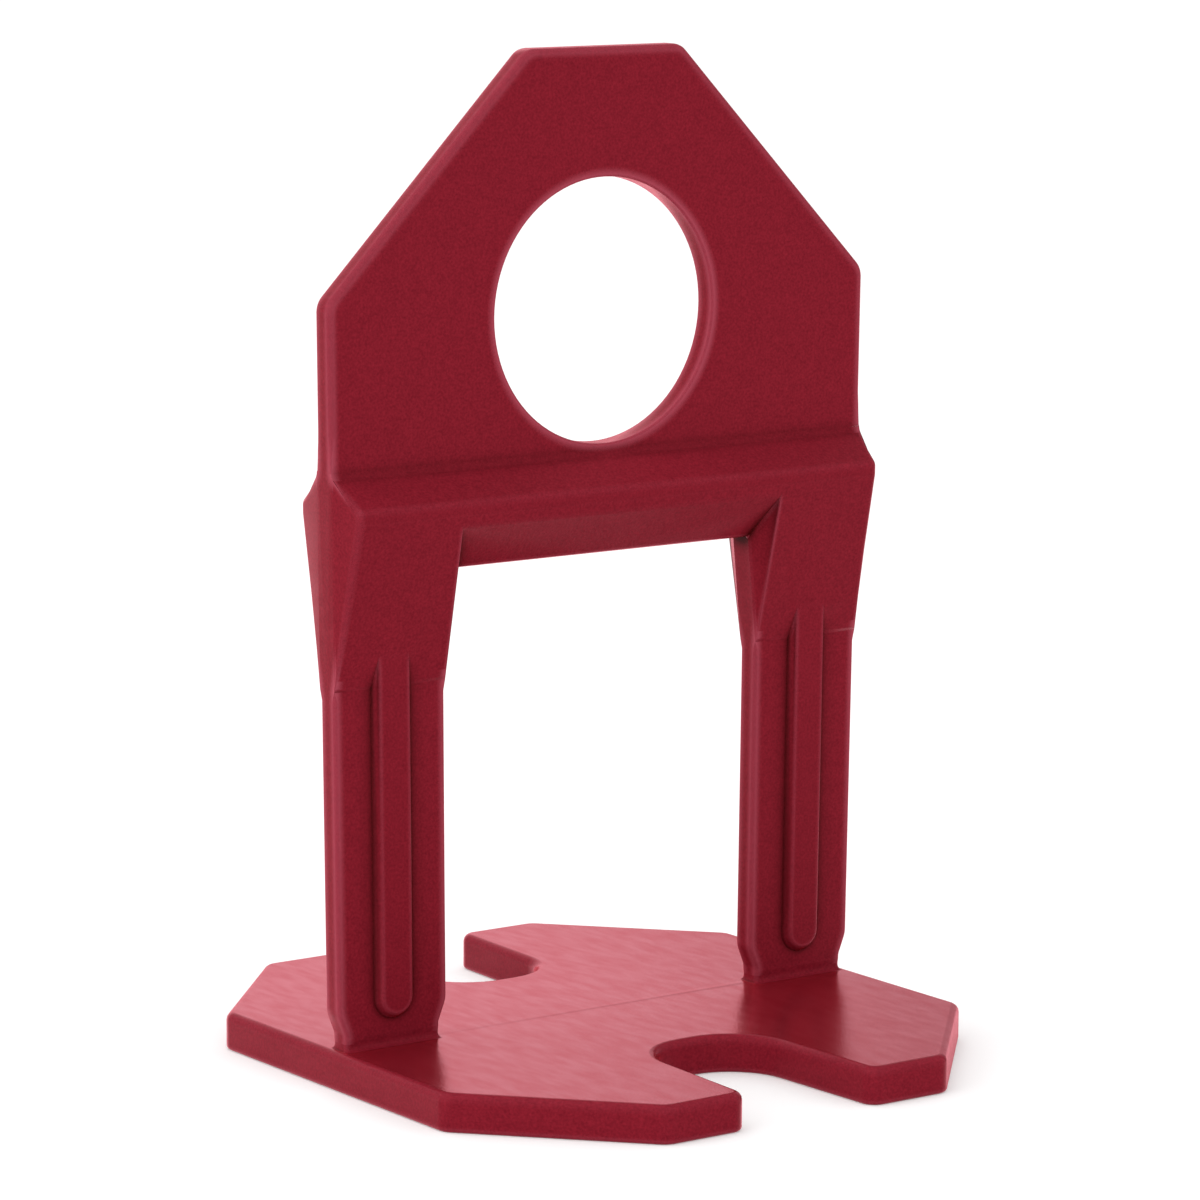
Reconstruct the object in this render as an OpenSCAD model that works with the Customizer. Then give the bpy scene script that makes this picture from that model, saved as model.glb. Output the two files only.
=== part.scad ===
// Tile levelling clip: one moulding. A thin plate makes the pierced head, the crossbar
// and both legs; a ridged yoke stiffens the legs where they meet the head; spacer ribs
// set the joint between the tiles; a necked foot snaps off above a slotted base.
// X runs along the head, Y through the plate, Z up. The base stands on Z = 0.

/* [Plate] */
// width over the legs and the base
clip_width = 30.8; // [30:0.2:31.4]
// thickness of the plate that makes head and legs
plate_thickness = 1.2; // [1.1:0.05:1.3]
// round on the long edges of the plate
plate_edge_round = 0.25; // [0.2:0.05:0.3]

/* [Head] */
// height of the flat top above the floor
head_height = 48.8; // [47:0.1:52]
// width over the shoulders, a little more than over the legs
head_width = 31.6; // [31.4:0.2:32]
// width of the flat top
head_top_width = 8.9; // [7:0.1:12]
// height of the shoulders, where the slopes begin
shoulder_height = 37.4; // [36.5:0.1:39]
// round on the corners of the head
head_corner_radius = 1.0; // [0.6:0.1:1.6]
// diameter of the hole through the head
hole_diameter = 12.8; // [10:0.1:13]
// height of the middle of the hole
hole_height = 36.2; // [35.8:0.1:37]

/* [Yoke] */
// depth over the front and the back ridge
ridge_depth = 5.0; // [4.2:0.1:5.4]
// height of the top edge of the ridge
ridge_height = 27.9; // [27.5:0.05:27.95]
// upright land on the ridge
ridge_land = 0.6; // [0.5:0.05:0.8]
// rise of the slope between ridge and head
ridge_slope_rise = 1.4; // [1.1:0.1:1.4]
// round on the ridge
ridge_round = 0.3; // [0.2:0.05:0.4]
// hollow round where the slope meets the head
ridge_root_round = 0.7; // [0.5:0.1:0.9]
// height where the flares leave the legs
flare_foot_height = 19.4; // [18.5:0.1:20]
// step between the leg and the bottom of its flare
flare_lip = 0.1; // [0.06:0.01:0.16]
// draft on the ends of the yoke, over half its depth
flare_draft = 0.15; // [0.1:0.05:0.3]

/* [Window] */
// height of the bottom edge of the crossbar
bar_bottom_height = 24.5; // [24:0.1:24.8]
// slope of the underside of the crossbar, from the level
bar_under_angle = 51.5; // [45:0.5:56]
// setback of the flare from the inner edge of its leg
flare_setback = 0.15; // [0.1:0.05:0.2]
// draft of the inner side of the flare, in plan
flare_inner_angle = 31.4; // [25:0.2:35]
// lean of the inner side of the flare towards the window
flare_inner_lean = 7.5; // [6:0.1:9]

/* [Legs] */
// width of one leg
leg_width = 6.2; // [5.6:0.1:6.6]
// joint width set by the ribs, front crest to back crest
joint_width = 2.0; // [1.8:0.1:2.6]
// width of the crest of a rib
rib_crest_width = 1.66; // [1.4:0.02:1.8]
// width of a rib at the face of the leg
rib_root_width = 2.36; // [2.2:0.02:2.6]
// height of the bottom of the crest of a rib
rib_bottom_height = 3.45; // [3.35:0.05:5]

/* [Break line] */
// height where the legs begin to narrow
neck_start_height = 3.5; // [3.3:0.1:4]
// height where the neck is narrowest
neck_height = 2.45; // [2.4:0.05:2.7]
// cut into each side of the leg at the neck
neck_side_cut = 0.5; // [0.3:0.05:0.6]
// depth of the snap groove in each face of the leg
groove_depth = 0.28; // [0.15:0.01:0.32]
// height of the snap groove
groove_width = 0.6; // [0.4:0.05:0.7]

/* [Base] */
// depth of the base from front to back
base_depth = 34.3; // [32:0.1:36]
// thickness of the base
base_thickness = 1.85; // [1.75:0.05:2.0]
// length of the straight side of the base, beside a leg
base_side_length = 18.8; // [17:0.1:20]
// length of the straight front and back of the base
base_front_length = 16.4; // [15:0.1:18]
// round on the corners of the base, seen from above
base_corner_radius = 1.0; // [0.6:0.1:1.5]
// round on the top edge of the base
base_top_round = 0.4; // [0.25:0.05:0.5]
// round on the bottom edge of the base
base_bottom_round = 0.2; // [0.1:0.05:0.25]
// width of the slot at its mouth
slot_mouth_width = 7.3; // [6.6:0.1:8]
// width of the slot at its inner end
slot_end_width = 6.4; // [6:0.1:6.6]
// distance from the middle of the base to the end of the slot
slot_end_distance = 7.7; // [7:0.05:8.5]
// round in the inner corners of the slot
slot_end_radius = 2.9; // [2:0.1:2.9]
// round on the lips of the slot
slot_lip_radius = 0.8; // [0.4:0.1:1]

/* [Hidden] */
$fn = 64;
clip_color = [0.48, 0.10, 0.15];
half_width = clip_width / 2;
face = plate_thickness / 2;
leg_inner = half_width - leg_width;
leg_middle = half_width - leg_width / 2;
ridge_reach = ridge_depth / 2;
rib_height = joint_width / 2 - face;
flare_bottom_reach = face + flare_lip;
// the inner side of a flare is one sloping plane: it stands back from the leg at the
// foot of the flare and leans over the window above
plane_nx = cos(flare_inner_lean) * cos(flare_inner_angle);
plane_ny = cos(flare_inner_lean) * sin(flare_inner_angle);
plane_nz = sin(flare_inner_lean);
plane_at = plane_nx * (leg_inner + flare_setback) - plane_ny * face + plane_nz * flare_foot_height;
// it meets the straight wall of the window a little in front of the plate
wall_reach = face + 0.15;
window_bend_height = (plane_at + plane_ny * wall_reach - plane_nx * leg_inner) / plane_nz;
window_top_half = (plane_at + plane_ny * wall_reach - plane_nz * bar_bottom_height) / plane_nx;
leg_root_height = base_thickness / 2;

// Corners as [x, y, round], anticlockwise
head_top = head_top_width / 2;
head_half = head_width / 2;
plate_bottom = ridge_height + ridge_slope_rise;
head_path = [
    [-half_width, plate_bottom, 0], [half_width, plate_bottom, 0],
    [head_half, shoulder_height, head_corner_radius], [head_top, head_height, head_corner_radius],
    [-head_top, head_height, head_corner_radius], [-head_half, shoulder_height, head_corner_radius]
];
neck_half = half_width - neck_side_cut;
neck_inner = leg_inner + neck_side_cut;
leg_top = window_bend_height + 1;
leg_path = [
    [neck_half, leg_root_height, 0], [neck_half, neck_height, 0.4],
    [half_width, neck_start_height, 0.8], [half_width, leg_top, 0],
    [leg_inner, leg_top, 0], [leg_inner, neck_start_height, 0.8],
    [neck_inner, neck_height, 0.4], [neck_inner, leg_root_height, 0]
];
base_half_depth = base_depth / 2;
base_quarter = [
    [half_width, base_side_length / 2, base_corner_radius],
    [base_front_length / 2, base_half_depth, base_corner_radius],
    [slot_mouth_width / 2, base_half_depth, slot_lip_radius],
    [slot_end_width / 2, slot_end_distance, slot_end_radius]
];
base_half = concat(base_quarter, flip(base_quarter));
base_path = concat(base_half, [for (c = base_half) [-c[0], -c[1], c[2]]]);
// the corners of the base without its slots
base_rim = [
    for (s = [1, -1]) each [
        [s * half_width, -s * base_side_length / 2], [s * half_width, s * base_side_length / 2],
        [s * base_front_length / 2, s * base_half_depth], [-s * base_front_length / 2, s * base_half_depth]
    ]
];

// the same corners on the other side, in the order that goes on round the outline
function flip(corners) = [
    for (i = [len(corners) - 1:-1:0]) [-corners[i][0], corners[i][1], corners[i][2]]
];
function at(path, i) = path[(i + len(path)) % len(path)];
function spot(c) = [c[0], c[1]];
function way(path, i) = let (d = spot(at(path, i + 1)) - spot(at(path, i))) d / norm(d);
function left_of(d) = [-d[1], d[0]];
// turn at a corner in degrees, positive where the outline is convex
function turn(path, i) = let (a = way(path, i - 1), b = way(path, i))
    atan2(a[0] * b[1] - a[1] * b[0], a[0] * b[0] + a[1] * b[1]);
function reach(path, i) = at(path, i)[2] * tan(abs(turn(path, i)) / 2);
function arc_start(path, i) = spot(at(path, i)) - way(path, i - 1) * reach(path, i);
function arc_end(path, i) = spot(at(path, i)) + way(path, i) * reach(path, i);
function arc_middle(path, i) =
    arc_start(path, i) + left_of(way(path, i - 1)) * at(path, i)[2] * sign(turn(path, i));
// flat outline with true arcs at its corners
module outline(path) {
    corners = [for (i = [0:len(path) - 1]) if (at(path, i)[2] > 0.001) i];
    points = [
        for (i = [0:len(path) - 1])
            each at(path, i)[2] > 0.001 ? [arc_start(path, i), arc_end(path, i)] : [spot(at(path, i))]
    ];
    difference() {
        union() {
            polygon(points);
            for (i = corners) if (turn(path, i) > 0) translate(arc_middle(path, i)) circle(r = at(path, i)[2]);
        }
        // a hollow round is a hair larger, so that it crosses its two sides
        for (i = corners) if (turn(path, i) < 0) translate(arc_middle(path, i)) circle(r = at(path, i)[2] + 0.002);
    }
}

// section of a plate's border: the outer face is at x = 0, the material at x > 0
module border(wide, thick, top_round, bottom_round) {
    union() {
        polygon([
            [wide, thick], [top_round, thick], [0, thick - top_round],
            [0, bottom_round], [bottom_round, 0], [wide, 0]
        ]);
        translate([top_round, thick - top_round]) circle(r = top_round);
        translate([bottom_round, bottom_round]) circle(r = bottom_round);
    }
}

// wide plate with one rounded rim, along side i of the path
module rim_plate(path, i, thick, top_round, bottom_round) {
    big = 80;
    from = spot(at(path, i));
    d = way(path, i);
    translate([from[0], from[1], 0]) rotate([0, 0, atan2(d[1], d[0])]) rotate([90, 0, 90])
        linear_extrude(height = 2 * big, center = true) border(big, thick, top_round, bottom_round);
}

// head above the crossbar, with rounded edges and a round-edged hole
module head() {
    translate([0, face, 0]) rotate([90, 0, 0]) intersection() {
        linear_extrude(height = plate_thickness) outline(head_path);
        intersection_for (i = [1:5])
            rim_plate(head_path, i, plate_thickness, plate_edge_round, plate_edge_round);
        translate([0, hole_height, 0]) rotate_extrude() translate([hole_diameter / 2, 0])
            border(80, plate_thickness, plate_edge_round, plate_edge_round);
    }
}

// right leg: rounded along both long edges, narrowed to the neck above the base
module leg() {
    translate([0, face, 0]) rotate([90, 0, 0]) intersection() {
        linear_extrude(height = plate_thickness) outline(leg_path);
        rim_plate(leg_path, 2, plate_thickness, plate_edge_round, plate_edge_round);
        rim_plate(leg_path, 4, plate_thickness, plate_edge_round, plate_edge_round);
    }
}

// half section of the yoke, depth against height
module yoke_half_section() {
    land_bottom = ridge_height - ridge_land;
    head_foot = ridge_height + ridge_slope_rise;
    // the hollow round bites a little into the plate so that the two surfaces cross
    bite = 0.02;
    slope = atan2(ridge_slope_rise, ridge_reach - face);
    middle_x = face - bite + ridge_root_round;
    // the round touches the slope at its lower end
    middle_y = head_foot + (ridge_root_round - (middle_x - face) * sin(slope)) / cos(slope);
    touch = [middle_x - ridge_root_round * sin(slope), middle_y - ridge_root_round * cos(slope)];
    difference() {
        outline([
            [0, flare_foot_height, 0], [flare_bottom_reach, flare_foot_height, 0],
            [ridge_reach, land_bottom, ridge_round], [ridge_reach, ridge_height, ridge_round],
            [touch[0], touch[1], 0], [face - bite, middle_y, 0], [0, middle_y, 0]
        ]);
        translate([middle_x, middle_y]) circle(r = ridge_root_round);
    }
}

// space under the crossbar and between the flares, in front of the plate
module window_pocket() {
    big = 60;
    module flare_side() {
        translate([leg_inner + flare_setback, -face, flare_foot_height])
            rotate([0, -flare_inner_lean, flare_inner_angle])
                translate([-big, -big / 2, -big / 2]) cube(big);
    }
    intersection() {
        flare_side();
        mirror([1, 0, 0]) flare_side();
        translate([0, -face, bar_bottom_height]) rotate([-bar_under_angle, 0, 0])
            translate([-big / 2, -big / 2, -big]) cube(big);
        translate([-big / 2, -big - face, 0]) cube(big);
    }
}

// ridge across the plate with a flare down each leg, front and back
module yoke() {
    window_side = [
        [leg_inner, 0, 0], [leg_inner, window_bend_height, 0], [window_top_half, bar_bottom_height, 0]
    ];
    difference() {
        intersection() {
            rotate([90, 0, 90]) linear_extrude(height = clip_width, center = true) union() {
                yoke_half_section();
                mirror([1, 0]) yoke_half_section();
            }
            linear_extrude(height = head_height) polygon([
                for (s = [1, -1]) each [
                    [s * half_width, -s * face], [s * half_width, s * face],
                    [s * (half_width - flare_draft), s * ridge_reach],
                    [-s * (half_width - flare_draft), s * ridge_reach]
                ]
            ]);
        }
        rotate([90, 0, 0]) linear_extrude(height = 2 * ridge_depth, center = true)
            polygon(concat([for (c = window_side) spot(c)], [for (c = flip(window_side)) spot(c)]));
        window_pocket();
        mirror([0, 1, 0]) window_pocket();
    }
}

// spacer rib on the front of the right leg, with a round lower end
module rib() {
    sink = 0.2;
    spread = (rib_root_width - rib_crest_width) / 2 / rib_height;
    crest = rib_crest_width / 2;
    deep = crest + spread * (rib_height + sink);
    top = flare_foot_height + (ridge_height - flare_foot_height) / 3;
    end = rib_bottom_height + crest;
    section = [[0, 0], [deep, 0], [crest, rib_height + sink], [0, rib_height + sink]];
    translate([leg_middle, -face + sink, end]) rotate([90, 0, 0]) {
        rotate([0, 0, 180]) rotate_extrude(angle = 180) polygon(section);
        rotate([-90, 0, 0]) linear_extrude(height = top - end)
            polygon([[-deep, 0], [deep, 0], [crest, -rib_height - sink], [-crest, -rib_height - sink]]);
    }
}

// groove across the front of the right leg at the neck
module snap_groove() {
    half = groove_width / 2;
    over = 0.3;
    middle = base_thickness + half + 0.05;
    wide = leg_width + 2;
    translate([leg_middle, 0, 0]) rotate([90, 0, 90]) linear_extrude(height = wide, center = true)
        polygon([
            [-face - over, middle - half * (1 + over / groove_depth)],
            [-face + groove_depth, middle],
            [-face - over, middle + half * (1 + over / groove_depth)]
        ]);
}

// slotted base that stays under the tiles
module base() {
    intersection() {
        linear_extrude(height = base_thickness) outline(base_path);
        intersection_for (i = [0:7])
            rim_plate(base_rim, i, base_thickness, base_top_round, base_bottom_round);
    }
}

module four_times() {
    for (x = [0, 1], y = [0, 1]) mirror([x, 0, 0]) mirror([0, y, 0]) children();
}

module levelling_clip() {
    color(clip_color) union() {
        difference() {
            union() {
                head();
                leg();
                mirror([1, 0, 0]) leg();
                yoke();
                four_times() rib();
            }
            four_times() snap_groove();
        }
        base();
    }
}

levelling_clip();
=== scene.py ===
import math

import bmesh
import bpy
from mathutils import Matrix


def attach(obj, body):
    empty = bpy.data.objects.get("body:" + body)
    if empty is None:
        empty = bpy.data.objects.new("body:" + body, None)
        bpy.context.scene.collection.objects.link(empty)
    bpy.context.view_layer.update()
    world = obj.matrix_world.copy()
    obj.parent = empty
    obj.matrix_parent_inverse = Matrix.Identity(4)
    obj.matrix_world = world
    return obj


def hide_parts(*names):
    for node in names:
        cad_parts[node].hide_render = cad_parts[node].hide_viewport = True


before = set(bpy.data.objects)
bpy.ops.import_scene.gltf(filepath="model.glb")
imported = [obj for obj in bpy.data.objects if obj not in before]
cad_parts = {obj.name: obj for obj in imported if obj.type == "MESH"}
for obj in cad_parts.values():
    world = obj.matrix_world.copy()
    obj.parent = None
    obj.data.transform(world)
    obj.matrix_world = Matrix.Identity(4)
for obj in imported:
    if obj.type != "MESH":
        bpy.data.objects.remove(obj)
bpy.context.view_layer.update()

# Levelling clip: one injection moulding in dark red plastic, with a pierced head plate over a ridged yoke,
# two ribbed legs that snap off at the neck, and a flat base. Its front right quarter is drawn in
# millimetres, face by face so that each edge can have its own round, and is mirrored twice.
HALF_WIDTH, LEG_INNER, FACE = 15.3, 9.13, 0.6
SHARP = 0
# the corner points of each face
quarter = []
# the width of each edge round, and the points along that edge
rounds = []


def rounded(corners, steps):
    """Points of a flat path whose corners (x, y, radius) are rounded."""
    points = [corners[0][:2]]
    for (ax, ay, _), (bx, by, r), (cx, cy, _) in zip(corners, corners[1:], corners[2:]):
        if r == 0:
            points.append((bx, by))
            continue
        ux, uy = ax - bx, ay - by
        vx, vy = cx - bx, cy - by
        ul, vl = math.hypot(ux, uy), math.hypot(vx, vy)
        ux, uy, vx, vy = ux / ul, uy / ul, vx / vl, vy / vl
        half = math.acos(ux * vx + uy * vy) / 2
        reach = r / math.tan(half)
        mx, my = ux + vx, uy + vy
        ml = math.hypot(mx, my)
        mx, my = bx + mx / ml * r / math.sin(half), by + my / ml * r / math.sin(half)
        start = math.atan2(by + uy * reach - my, bx + ux * reach - mx)
        end = math.atan2(by + vy * reach - my, bx + vx * reach - mx)
        sweep = (end - start + math.pi) % (2 * math.pi) - math.pi
        for k in range(steps + 1):
            a = start + sweep * k / steps
            points.append((mx + r * math.cos(a), my + r * math.sin(a)))
    points.append(corners[-1][:2])
    return points


def band(first, second):
    """Faces with four corners between two paths of equally many points."""
    for a, b, c, d in zip(first, first[1:], second[1:], second):
        quarter.append([a, b, c, d])


# Yoke: a ridge across the plate that runs out down each leg as a flare, with a crossbar between the legs
RIDGE_TOP, RIDGE_BOTTOM, RIDGE_REACH, RIDGE_ROUND = 27.9, 27.3, 2.5, 0.4
RIDGE_ROOT, RIDGE_ROOT_ROUND, RIDGE_STEPS = 29.3, 0.5, 5
FLARE_FOOT, FLARE_LIP, FLARE_END = 19.4, 0.07, 19.2
FLARE_DRAFT, FLARE_SPLITS = 0.32, (23.5, 21.0)
FLARE_TURN, FLARE_LEAN = 0.5066, 0.11
BAR_BOTTOM, BAR_ANGLE = 24.5, 51.5
RIB_MIDDLE, RIB_CREST, RIB_ROOT, RIB_REACH = 12.215, 0.83, 1.1, 1.0
# the ridge and the head have a line of corners here, just short of their ends
NEAR_END = HALF_WIDTH - 0.9
# below this height the edge of the plate is sharp
PLATE_SHARP = 28.6
# from the root of the ridge to the foot of the flare
FLARE_ROUNDS = (0.1, 0.25, 0.16, 0.04)
FLARE_INNER_ROUND, BAR_ROUND = 0.05, 0.15

lip = FACE + FLARE_LIP
section = rounded(
    [
        (FACE, RIDGE_ROOT + 1, 0),
        (FACE, RIDGE_ROOT, RIDGE_ROOT_ROUND),
        (RIDGE_REACH, RIDGE_TOP, RIDGE_ROUND),
        (RIDGE_REACH, RIDGE_BOTTOM, 0),
        (lip, FLARE_FOOT, 0),
    ],
    RIDGE_STEPS,
)[1:]
head_low = section[0][1]
strips = len(section) - 2
front_slope = (RIDGE_REACH - lip) / (RIDGE_BOTTOM - FLARE_FOOT)
flare_edge = section[:-1]
for z in FLARE_SPLITS + (FLARE_FOOT,):
    flare_edge.append((lip + front_slope * (z - FLARE_FOOT), z))
flare_edge = [(HALF_WIDTH - FLARE_DRAFT * (y - FACE) / (RIDGE_REACH - FACE), -y, z) for y, z in flare_edge]

bar_slope = math.tan(math.radians(BAR_ANGLE))
bar_rise = BAR_BOTTOM + bar_slope * (FLARE_LIP - front_slope * FLARE_FOOT)
bar_front = bar_rise / (1 - bar_slope * front_slope)
bar_reach = lip + front_slope * (bar_front - FLARE_FOOT)
bar_half = LEG_INNER - FLARE_LEAN * (BAR_BOTTOM - FLARE_FOOT)
bar_front_half = LEG_INNER + FLARE_TURN * (bar_reach - FACE) - FLARE_LEAN * (bar_front - FLARE_FOOT)
bar_middle, bar_end = (0, -FACE, BAR_BOTTOM), (bar_half, -FACE, BAR_BOTTOM)
bar_front_middle, bar_front_end = (0, -bar_reach, bar_front), (bar_front_half, -bar_reach, bar_front)
inner_lip = (LEG_INNER + FLARE_TURN * FLARE_LIP, -lip, FLARE_FOOT)
inner_end, outer_end = (LEG_INNER, -FACE, FLARE_END), (HALF_WIDTH, -FACE, FLARE_END)

rib_top = FLARE_FOOT + (RIB_REACH - lip) / front_slope
rib_lip = RIB_ROOT - (RIB_ROOT - RIB_CREST) * FLARE_LIP / (RIB_REACH - FACE)


def rib_corners(side):
    """Where one side of the rib meets the leg, the lip of the flare and the front of the flare."""
    on_leg = (RIB_MIDDLE + side * RIB_ROOT, -FACE, FLARE_END)
    on_lip = (RIB_MIDDLE + side * rib_lip, -lip, FLARE_FOOT)
    on_flare = (RIB_MIDDLE + side * RIB_CREST, -RIB_REACH, rib_top)
    return on_leg, on_lip, on_flare


rib_out_leg, rib_out_lip, rib_out_flare = rib_corners(1)
rib_in_leg, rib_in_lip, rib_in_flare = rib_corners(-1)

ridge_end = flare_edge[:strips + 1]
near_end = [(NEAR_END, y, z) for _, y, z in ridge_end]
band([(0, y, z) for _, y, z in ridge_end], near_end)
band(near_end, ridge_end)
yoke_front = [(0, -RIDGE_REACH, RIDGE_BOTTOM), (NEAR_END, -RIDGE_REACH, RIDGE_BOTTOM)] + flare_edge[strips:]
yoke_front += [rib_out_lip, rib_out_flare, rib_in_flare, rib_in_lip]
quarter.append(yoke_front + [inner_lip, bar_front_end, bar_front_middle])
quarter.append([inner_end, inner_lip, rib_in_lip, rib_in_leg])
quarter.append([rib_out_leg, rib_out_lip, flare_edge[-1], outer_end])
plate_edge = [(HALF_WIDTH, -FACE, head_low), (HALF_WIDTH, -FACE, PLATE_SHARP), outer_end]
quarter.append(flare_edge + plate_edge[:0:-1])
quarter.append([(HALF_WIDTH, 0, head_low)] + plate_edge + [(HALF_WIDTH, 0, FLARE_END)])
quarter.append([inner_end, bar_end, bar_front_end, inner_lip])
quarter.append([bar_middle, bar_end, bar_front_end, bar_front_middle])
quarter.append([bar_middle, (0, 0, BAR_BOTTOM), (bar_half, 0, BAR_BOTTOM), bar_end])
quarter.append([bar_end, (bar_half, 0, BAR_BOTTOM), (LEG_INNER, 0, FLARE_END), inner_end])

stops = (RIDGE_STEPS - 1, RIDGE_STEPS, strips + 1, strips + 2, strips + 3)
for width, start, end in zip(FLARE_ROUNDS, stops, stops[1:]):
    rounds.append((width, flare_edge[start:end + 1]))
rounds.append((FLARE_INNER_ROUND, [inner_lip, bar_front_end]))
rounds.append((BAR_ROUND, [bar_front_middle, bar_front_end]))
rounds.append((BAR_ROUND, [bar_middle, bar_end]))
rounds.append((SHARP, [bar_end, inner_end]))
rounds.append((SHARP, plate_edge[1:]))

# Head: a flat plate with rounded shoulders and a round hole
SHOULDER_HALF, SHOULDER, SHOULDER_ROUND, SHOULDER_STEPS = 15.784, 37.4, 1.0, 6
TOP_HALF, HEAD_TOP = 4.5, 48.8
# half widths of the plate a little above the yoke, each with its rise
FOOT_HALVES = ((15.683, 1.0), (15.694, 1.8))
HOLE_RADIUS, HOLE_MIDDLE, HOLE_STEPS = 6.4, 36.2, 48
HEAD_ROUND, HOLE_ROUND = 0.28, 0.13
# the round of the head's edge fades out down to the yoke
HEAD_FOOT_ROUNDS = (0.03, 0.13)

head_edge = [(HALF_WIDTH, head_low)] + rounded(
    [(half, head_low + rise, 0) for half, rise in FOOT_HALVES]
    + [
        (SHOULDER_HALF, SHOULDER, SHOULDER_ROUND),
        (TOP_HALF, HEAD_TOP, SHOULDER_ROUND),
        (0, HEAD_TOP, 0),
    ],
    SHOULDER_STEPS,
)
hole = []
for k in range(HOLE_STEPS + 1):
    a = math.pi * k / HOLE_STEPS
    hole.append((HOLE_RADIUS * math.sin(a), HOLE_MIDDLE - HOLE_RADIUS * math.cos(a)))
head_face = [(0, head_low), (NEAR_END, head_low)] + head_edge + hole[::-1]
quarter.append([(x, -FACE, z) for x, z in head_face])
for width, path in ((HEAD_ROUND, head_edge), (HOLE_ROUND, hole)):
    front = [(x, -FACE, z) for x, z in path]
    band([(x, 0, z) for x, z in path], front)
    rounds.append((width, front))
for k, width in enumerate(HEAD_FOOT_ROUNDS):
    rounds.append((width, [(x, -FACE, z) for x, z in head_edge[k:k + 2]]))

# Leg: a flat strip with round corners and a raised rib, necked in above a shallow snap groove and with a
# small fillet round its foot
BASE_TOP = 1.85
LEG_CORNER, LEG_STEPS, CORNER_RUN_OUT = 0.2, 4, 0.5
NECK_START, NECK_START_ROUND, NECK, NECK_ROUND, NECK_CUT = 3.7, 1.2, 2.65, 0.6, 0.42
GROOVE_START, GROOVE_TOP, GROOVE_ROUND, GROOVE_DEPTH = 2.42, 2.2, 0.5, 0.04
FILLET, FILLET_SIDE = 0.25, 0.1
RIB_BOTTOM, RIB_STEPS, RIB_ROUND = 3.45, 16, 0.09

neck_face = FACE - GROOVE_DEPTH
low_face = rounded(
    [
        (FACE, GROOVE_START + 1, 0),
        (FACE, GROOVE_START, GROOVE_ROUND),
        (neck_face, GROOVE_TOP, GROOVE_ROUND),
        (neck_face, BASE_TOP, FILLET),
        (FACE + 1, BASE_TOP, 0),
    ],
    LEG_STEPS,
)[1:-1]
turns = [math.pi / 2 * k / LEG_STEPS for k in range(LEG_STEPS + 1)]


def leg_rings(side, out):
    """Level rings from the middle of the leg's narrow side round to its face, from the top down."""
    neck = side - out * NECK_CUT
    outline = rounded(
        [
            (side, FLARE_END - CORNER_RUN_OUT, 0),
            (side, NECK_START, NECK_START_ROUND),
            (neck, NECK, NECK_ROUND),
            (neck, BASE_TOP, 0),
        ],
        LEG_STEPS,
    )[:-1]
    places = [(x, FACE, z) for x, z in outline]
    for y, z in low_face:
        spread = 0
        if z < BASE_TOP + FILLET:
            spread = FILLET_SIDE * (y - neck_face) / FILLET
        places.append((neck + out * spread, y, z))
    rings = []
    for x, y, z in places:
        ring = [(x, 0, z)]
        for a in turns:
            inward, back = LEG_CORNER * (1 - math.cos(a)), LEG_CORNER * (1 - math.sin(a))
            ring.append((x - out * inward, back - y, z))
        rings.append(ring)
    return rings


outer_rings, inner_rings = leg_rings(HALF_WIDTH, 1), leg_rings(LEG_INNER, -1)
for rings, top in ((outer_rings, outer_end), (inner_rings, inner_end)):
    quarter.append([(top[0], 0, FLARE_END), top, rings[0][1], rings[0][0]])
    rounds.append((SHARP, [rings[0][1], top, rings[0][-1]]))
    for a, b in zip(rings[0][1:], rings[0][2:]):
        quarter.append([top, a, b])
    for upper, lower in zip(rings, rings[1:]):
        band(upper, lower)
outer_face = [ring[-1] for ring in outer_rings]
inner_face = [ring[-1] for ring in inner_rings]
groove = len(outer_face) - len(low_face)
band(inner_face[groove:], outer_face[groove:])

rib_end = RIB_BOTTOM + RIB_CREST


def rib_foot(radius, reach):
    """The half circle at the rib's lower end, from its outer to its inner side."""
    points = []
    for k in range(RIB_STEPS + 1):
        a = math.pi * k / RIB_STEPS
        points.append((RIB_MIDDLE + radius * math.cos(a), -reach, rib_end - radius * math.sin(a)))
    return points


root, crest = rib_foot(RIB_ROOT, FACE), rib_foot(RIB_CREST, RIB_REACH)
leg_face = [outer_end] + outer_face[:groove + 1] + inner_face[groove::-1] + [inner_end]
quarter.append(leg_face + [rib_in_leg] + root[::-1] + [rib_out_leg])
rib_face = [rib_out_flare] + crest + [rib_in_flare]
quarter.append(rib_face)
rounds.append((RIB_ROUND, rib_face))
band(root, crest)
quarter.append([root[0], crest[0], rib_out_flare, rib_out_lip, rib_out_leg])
quarter.append([root[-1], crest[-1], rib_in_flare, rib_in_lip, rib_in_leg])

# Base: an eight-sided plate with a round-ended slot in its front and back edge
BASE_HALF_WIDTH, BASE_HALF_DEPTH = 15.4, 17.15
BASE_FRONT_HALF, BASE_SIDE_HALF, BASE_CORNER, BASE_STEPS = 8.2, 9.4, 1.0, 10
SLOT_END, SLOT_END_HALF, SLOT_END_ROUND = 7.7, 3.2, 2.9
SLOT_MOUTH_HALF, SLOT_MOUTH_ROUND = 3.65, 0.8
BASE_TOP_ROUND, BASE_UNDER_ROUND = 0.4, 0.2

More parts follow.
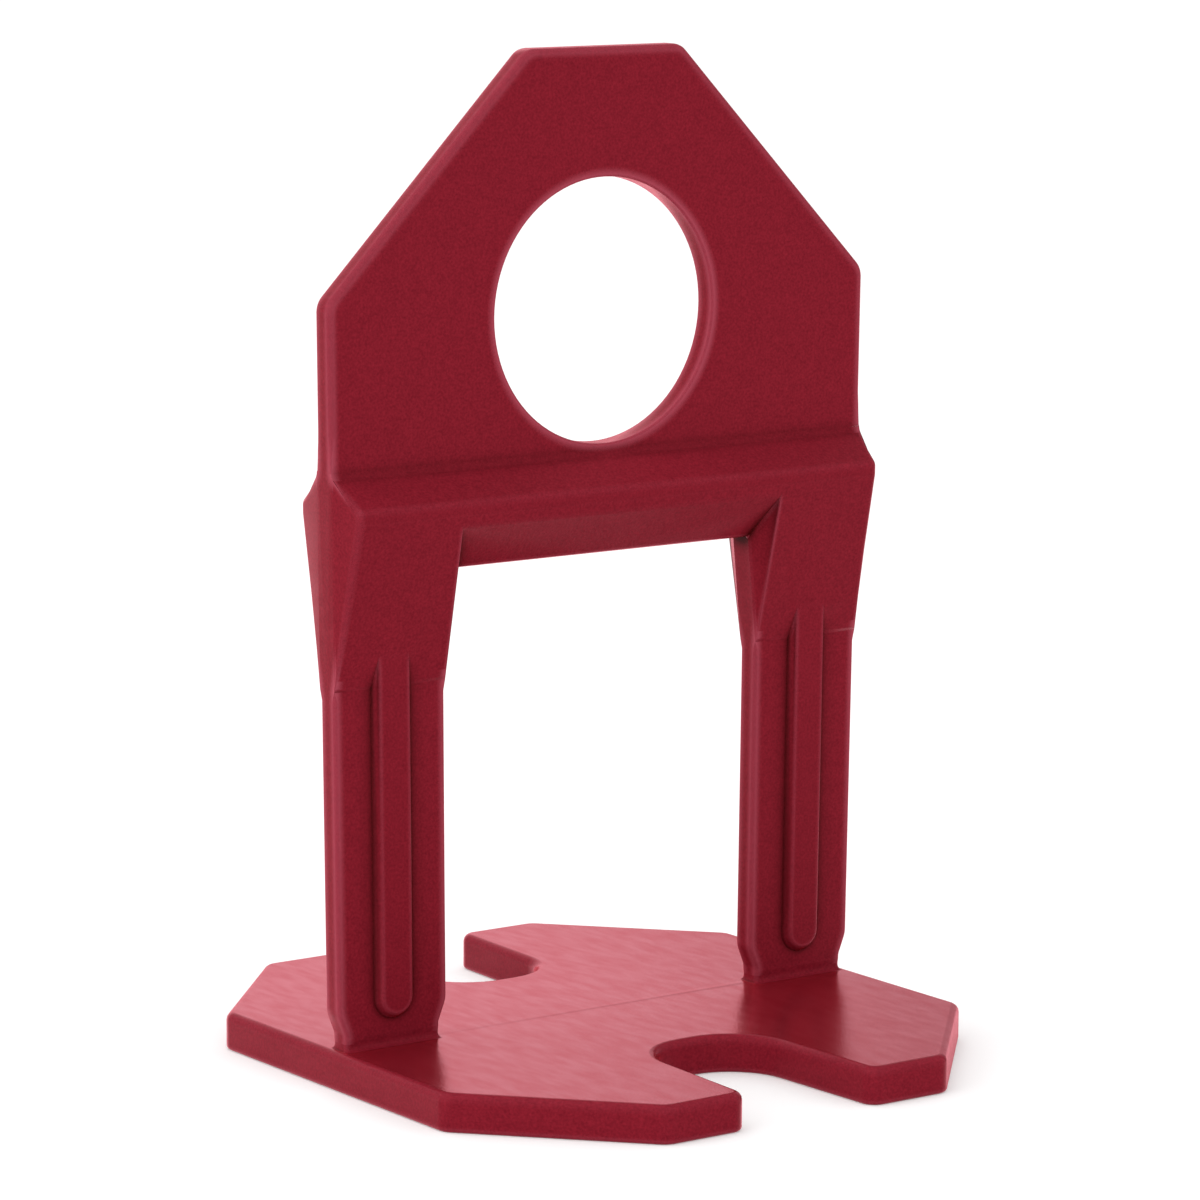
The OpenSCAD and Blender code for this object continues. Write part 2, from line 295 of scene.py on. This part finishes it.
rim = rounded(
    [
        (0, -SLOT_END, 0),
        (SLOT_END_HALF, -SLOT_END, SLOT_END_ROUND),
        (SLOT_MOUTH_HALF, -BASE_HALF_DEPTH, SLOT_MOUTH_ROUND),
        (BASE_FRONT_HALF, -BASE_HALF_DEPTH, BASE_CORNER),
        (BASE_HALF_WIDTH, -BASE_SIDE_HALF, BASE_CORNER),
        (BASE_HALF_WIDTH, 0, 0),
    ],
    BASE_STEPS,
)
rim_top = [(x, y, BASE_TOP) for x, y in rim]
rim_under = [(x, y, 0) for x, y in rim]
quarter.append(rim_top + outer_rings[-1] + inner_rings[-1][::-1] + [(0, 0, BASE_TOP)])
quarter.append(rim_under + [(0, 0, 0)])
band(rim_top, rim_under)
rounds.append((BASE_TOP_ROUND, rim_top))
rounds.append((BASE_UNDER_ROUND, rim_under))

# The faces share their corners, and the quarter is mirrored to the left and to the back
MM = 0.001
SAME_PLACE = 1e-7
WIDEST, ROUND_STEPS = 0.4, 4
CREASE_ANGLE = math.radians(25)
# the plate grows this share wider with each millimetre from the neck up to the foot of the head
LEAN = 0.000933
# a hair more, so that the points at that foot count as below it
HAIR = 0.001
# points that agree to so many decimals of a millimetre are one corner
DECIMALS = 4

bm = bmesh.new()
weight = bm.edges.layers.float.new("bevel_weight_edge")
corners = {}


def corner(place):
    """The one vertex of the quarter at this place."""
    x, y, z = place
    if NECK_START < z < head_low + HAIR:
        x *= 1 + LEAN * (z - NECK_START)
    key = (round(x, DECIMALS), round(y, DECIMALS), round(z, DECIMALS))
    if key not in corners:
        corners[key] = bm.verts.new((x * MM, y * MM, z * MM))
    return corners[key]


for points in quarter:
    bm.faces.new([corner(place) for place in points])
for width, path in rounds:
    for a, b in zip(path, path[1:]):
        line = bm.edges.get((corner(a), corner(b)))
        line[weight] = width / WIDEST
        line.smooth = width > SHARP
for axis in ("X", "Y"):
    bmesh.ops.mirror(bm, geom=bm.verts[:] + bm.edges[:] + bm.faces[:], axis=axis, merge_dist=SAME_PLACE)
bmesh.ops.recalc_face_normals(bm, faces=bm.faces)
for line in bm.edges:
    if line[weight] == 0 and line.calc_face_angle(0) > CREASE_ANGLE:
        line.smooth = False
mesh = bpy.data.meshes.new("levelling_clip_visual")
bm.to_mesh(mesh)
bm.free()
mesh.polygons.foreach_set("use_smooth", [True] * len(mesh.polygons))
clip = bpy.data.objects.new("levelling_clip_visual", mesh)
bpy.context.scene.collection.objects.link(clip)
softened = clip.modifiers.new("rounds", "BEVEL")
softened.affect = "EDGES"
softened.limit_method = "WEIGHT"
softened.width = WIDEST * MM
softened.segments = ROUND_STEPS
softened.profile = 0.5
softened.material = -1
softened.use_clamp_overlap = False
softened.miter_outer = "MITER_SHARP"
flats = clip.modifiers.new("flats", "WEIGHTED_NORMAL")
flats.keep_sharp = True
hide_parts("levelling_clip")
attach(clip, "root")


def add(tree, kind, sockets, **settings):
    """A new node with its settings, and with a value or a link at each socket that is named."""
    node = tree.nodes.new("ShaderNode" + kind)
    for name, value in settings.items():
        setattr(node, name, value)
    for name, value in sockets.items():
        if isinstance(value, bpy.types.NodeSocket):
            tree.links.new(value, node.inputs[name])
        else:
            node.inputs[name].default_value = value
    return node


# Its plastic: dark red and finely grained, with painted shade in the creases and a painted highlight along
# thin edges, and with a skin that mirrors at a low angle
DARK_RED, BRIGHT_RED = (0.180, 0.0074, 0.0168, 1), (0.269, 0.0132, 0.0264, 1)
# the first colour on the next line is painted shade for the creases, the second a painted highlight for
# thin edges
PAINTED_SHADE_RED, PAINTED_HIGHLIGHT_RED = (0.032, 0.0012, 0.0002, 1), (0.55, 0.105, 0.152, 1)
SKIN_RED, PALE_SKIN = (0.92, 0.265, 0.315, 1), (1, 0.355, 0.415, 1)

plastic = bpy.data.materials.new("dark_red_plastic")
plastic.use_nodes = True
tree = plastic.node_tree
body = tree.nodes["Principled BSDF"]
body.inputs["Specular IOR Level"].default_value = 0.03
place = add(tree, "TexCoord", {}).outputs["Object"]
spot = add(tree, "SeparateXYZ", {"Vector": place}).outputs

# A fine grain, and a coarser mottling that is drawn out from front to back
grain = add(tree, "TexNoise", {"Vector": place, "Scale": 8000, "Detail": 2}).outputs["Fac"]
drawn = add(tree, "Mapping", {"Vector": place, "Scale": (1, 0.3, 1)}).outputs["Vector"]
mottle = add(tree, "TexNoise", {"Vector": drawn, "Scale": 1800, "Detail": 2}).outputs["Fac"]
both = add(tree, "Math", {0: mottle, 1: 0.25, 2: grain}, operation="MULTIPLY_ADD").outputs["Value"]
spread = add(tree, "MapRange", {"Value": both, "From Min": 0.375, "From Max": 0.875}).outputs["Result"]
red = add(tree, "Mix", {"Factor": spread, "A": DARK_RED, "B": BRIGHT_RED}, data_type="RGBA")

# Thin edges are painted paler, a painted highlight, over a longer reach on the upright plate
across = add(tree, "Math", {0: spot["Y"]}, operation="ABSOLUTE").outputs["Value"]
in_plate = add(tree, "Math", {0: across, 1: 0.00075}, operation="LESS_THAN").outputs["Value"]
above_base = add(tree, "Math", {0: spot["Z"], 1: 0.0022}, operation="GREATER_THAN").outputs["Value"]
upright = add(tree, "Math", {0: in_plate, 1: above_base}, operation="MULTIPLY").outputs["Value"]
near = add(tree, "MapRange", {"Value": upright, "To Min": 0.00025, "To Max": 0.00052}).outputs["Result"]
thin = add(tree, "AmbientOcclusion", {"Distance": near}, samples=4, inside=True, only_local=True)
# the colour is mixed towards a paler red near thin edges: a painted highlight
painted_highlight = add(
    tree,
    "MapRange",
    {"Value": thin.outputs["AO"], "From Min": 0.4, "From Max": 1, "To Min": 0.9, "To Max": 0},
)
highlighted = add(
    tree,
    "Mix",
    {"Factor": painted_highlight.outputs["Result"], "A": red.outputs["Result"], "B": PAINTED_HIGHLIGHT_RED},
    data_type="RGBA",
)

# Creases are painted darker, a painted shade, over a shorter reach on the ridge and above it, and hardly at
# the foot of the legs
reach = add(
    tree,
    "MapRange",
    {"Value": spot["Z"], "From Min": 0.0262, "From Max": 0.0272, "To Min": 0.0011, "To Max": 0.0008},
)
rise = add(tree, "MapRange", {"Value": spot["Z"], "From Min": 0.002, "From Max": 0.006, "To Min": 0.12})
far = add(tree, "Math", {0: reach.outputs["Result"], 1: rise.outputs["Result"]}, operation="MULTIPLY")
crease_shade_ao = add(tree, "AmbientOcclusion", {"Distance": far.outputs["Value"]}, samples=8, only_local=True)
depth = add(tree, "MapRange", {"Value": crease_shade_ao.outputs["AO"], "From Min": 0.75, "From Max": 0.93})
shade = add(
    tree,
    "Mix",
    {"Factor": depth.outputs["Result"], "A": PAINTED_SHADE_RED, "B": highlighted.outputs["Result"]},
    data_type="RGBA",
)
tree.links.new(shade.outputs["Result"], body.inputs["Base Color"])
dull = add(tree, "MapRange", {"Value": grain, "To Min": 0.4, "To Max": 0.52})
tree.links.new(dull.outputs["Result"], body.inputs["Roughness"])

# The grain stands out a little, and so does the line across the top of the base
seam = add(
    tree,
    "MapRange",
    {"Value": across, "From Min": 0.00003, "From Max": 0.0003, "To Min": 3, "To Max": 0},
)
on_base = add(tree, "Math", {0: spot["Z"], 1: 0.00185, 2: 0.00005}, operation="COMPARE")
height = add(
    tree,
    "Math",
    {0: seam.outputs["Result"], 1: on_base.outputs["Value"], 2: both},
    operation="MULTIPLY_ADD",
)
bump = add(tree, "Bump", {"Strength": 0.25, "Distance": 0.00003, "Height": height.outputs["Value"]})
tree.links.new(bump.outputs["Normal"], body.inputs["Normal"])

# The skin is satin, paler in patches, and mirrors only at a low angle
patch = add(tree, "MapRange", {"Value": mottle, "From Min": 0.3, "From Max": 0.7})
glint = add(
    tree,
    "Mix",
    {"Factor": patch.outputs["Result"], "A": SKIN_RED, "B": PALE_SKIN},
    data_type="RGBA",
)
satin = add(tree, "MapRange", {"Value": mottle, "To Min": 0.17, "To Max": 0.25})
skin = add(
    tree,
    "BsdfGlossy",
    {
        "Color": glint.outputs["Result"],
        "Roughness": satin.outputs["Result"],
        "Normal": bump.outputs["Normal"],
    },
)
low_angle = add(tree, "LayerWeight", {"Blend": 0.5})
steep = add(tree, "Math", {0: low_angle.outputs["Facing"], 1: 6}, operation="POWER")
share = add(tree, "MapRange", {"Value": steep.outputs["Value"], "From Max": 0.2, "To Max": 0.62})
coat = add(
    tree,
    "MixShader",
    {"Fac": share.outputs["Result"], 1: body.outputs["BSDF"], 2: skin.outputs["BSDF"]},
)
tree.links.new(coat.outputs["Shader"], tree.nodes["Material Output"].inputs["Surface"])
mesh.materials.append(plastic)

# Floor: a plain white sheet under the clip, painted matt. It keeps the soft shadow of the base, and a
# little light of its own, seen only by the camera and in mirroring surfaces, makes it a clean white.
FLOOR_HALF, FLOOR_LIFT = 3, 0.2
FLOOR_WHITE = (0.85, 0.85, 0.85, 1)
bm = bmesh.new()
bmesh.ops.create_grid(bm, x_segments=1, y_segments=1, size=FLOOR_HALF)
floor_mesh = bpy.data.meshes.new("floor")
bm.to_mesh(floor_mesh)
bm.free()
floor = bpy.data.objects.new("floor", floor_mesh)
bpy.context.scene.collection.objects.link(floor)
paint = bpy.data.materials.new("floor_white")
paint.use_nodes = True
tree = paint.node_tree
matt = tree.nodes["Principled BSDF"]
matt.inputs["Base Color"].default_value = FLOOR_WHITE
matt.inputs["Roughness"].default_value = 0.9
matt.inputs["Specular IOR Level"].default_value = 0
matt.inputs["Emission Color"].default_value = (1, 1, 1, 1)
ray = add(tree, "LightPath", {}).outputs
seen = add(tree, "Math", {0: ray["Is Camera Ray"], 1: ray["Is Glossy Ray"]}, operation="MAXIMUM")
lift = add(tree, "Math", {0: seen.outputs["Value"], 1: FLOOR_LIFT}, operation="MULTIPLY")
tree.links.new(lift.outputs["Value"], matt.inputs["Emission Strength"])
floor_mesh.materials.append(paint)

# Studio: white surroundings with one soft lamp to the left and one above. In mirroring surfaces the wall
# behind the clip is brightest, and it grows darker to the front, upwards and past its right-hand end.
world = bpy.data.worlds.new("studio")
bpy.context.scene.world = world
world.use_nodes = True
tree = world.node_tree
surroundings = tree.nodes["Background"]
surroundings.inputs["Color"].default_value = (1, 1, 1, 1)
way = add(tree, "TexCoord", {}).outputs["Generated"]
toward = add(tree, "SeparateXYZ", {"Vector": way}).outputs
tilt = add(tree, "Math", {0: toward["Z"], 1: -0.35, 2: toward["Y"]}, operation="MULTIPLY_ADD")
back = add(
    tree,
    "MapRange",
    {"Value": tilt.outputs["Value"], "From Min": -0.3, "From Max": 0.5, "To Min": 0.15},
    interpolation_type="SMOOTHSTEP",
)
aside = add(tree, "Math", {0: toward["Y"], 1: toward["X"]}, operation="SUBTRACT")
wall_end = add(
    tree,
    "MapRange",
    {"Value": aside.outputs["Value"], "From Min": 0.1, "From Max": 0.22, "To Min": 0.52},
)
wall = add(tree, "Math", {0: back.outputs["Result"], 1: wall_end.outputs["Result"]}, operation="MULTIPLY")
ray = add(tree, "LightPath", {}).outputs
mirrored = add(tree, "Mix", {"Factor": ray["Is Glossy Ray"], "A": 1, "B": wall.outputs["Value"]})
tree.links.new(mirrored.outputs["Result"], surroundings.inputs["Strength"])
for name, at, turn, size, power in (
    ("left", (-0.5, 0.1, 0.12), (0, -80, -10), 0.6, 0.75),
    ("top", (-0.1, 0.12, 0.6), (-11, -9, 0), 0.4, 0.6),
):
    lamp = bpy.data.lights.new(name, "AREA")
    lamp.size = size
    lamp.energy = power
    holder = bpy.data.objects.new(name, lamp)
    holder.location = at
    holder.rotation_euler = [math.radians(angle) for angle in turn]
    bpy.context.scene.collection.objects.link(holder)

# Camera: it stands where the photograph was taken from, to the left in front of the clip and a little above
# it. Its place, turn and lens were fitted to the straight edges and corners of the clip in the photograph.
LENS, SENSOR = 156.26, 36
CAMERA_PLACE, CAMERA_TURN = (-0.14593, -0.20121, 0.06332), (80.5804, -0.3080, -35.9402)
lens = bpy.data.cameras.new("camera")
lens.sensor_width = SENSOR
lens.lens = LENS
lens.clip_start, lens.clip_end = 0.01, 10
camera = bpy.data.objects.new("camera", lens)
camera.location = CAMERA_PLACE
camera.rotation_euler = [math.radians(angle) for angle in CAMERA_TURN]
bpy.context.scene.collection.objects.link(camera)
bpy.context.scene.camera = camera
bpy.context.scene.view_settings.view_transform = "Standard"
